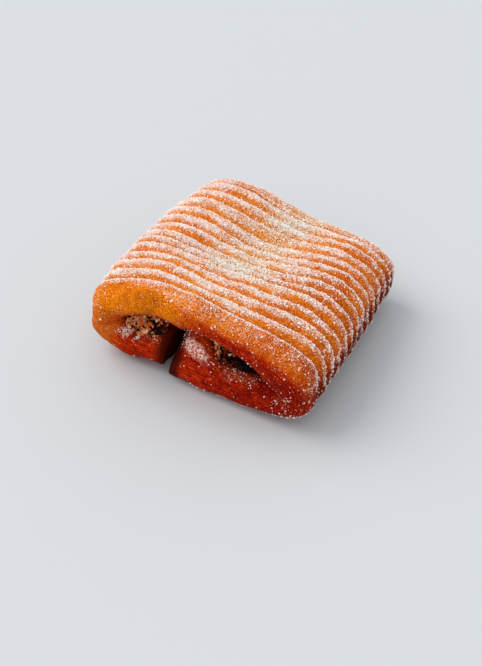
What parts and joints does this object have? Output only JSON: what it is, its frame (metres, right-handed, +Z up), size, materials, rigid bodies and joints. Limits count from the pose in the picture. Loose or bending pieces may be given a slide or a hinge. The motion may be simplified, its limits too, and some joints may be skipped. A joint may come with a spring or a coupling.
{
  "type": "pain suisse",
  "caption": "Rectangular baked brioche pastry, a thick sheet folded over chocolate cream, scored across the top and crusted with sugar.",
  "frame": {"origin": "middle of the pastry's footprint, on the table it lies on", "axes": "+X along the score lines from the left curled flank to the right one, +Y from the open front end to the open back end, +Z up"},
  "size_m": [0.1076, 0.1024, 0.046],
  "materials": {
    "crust": "matte",
    "filling": "satin"
  },
  "bodies": {
    "root": {"dough": "crust", "filling_left": "filling", "filling_right": "filling"}
  },
  "joints": []
}
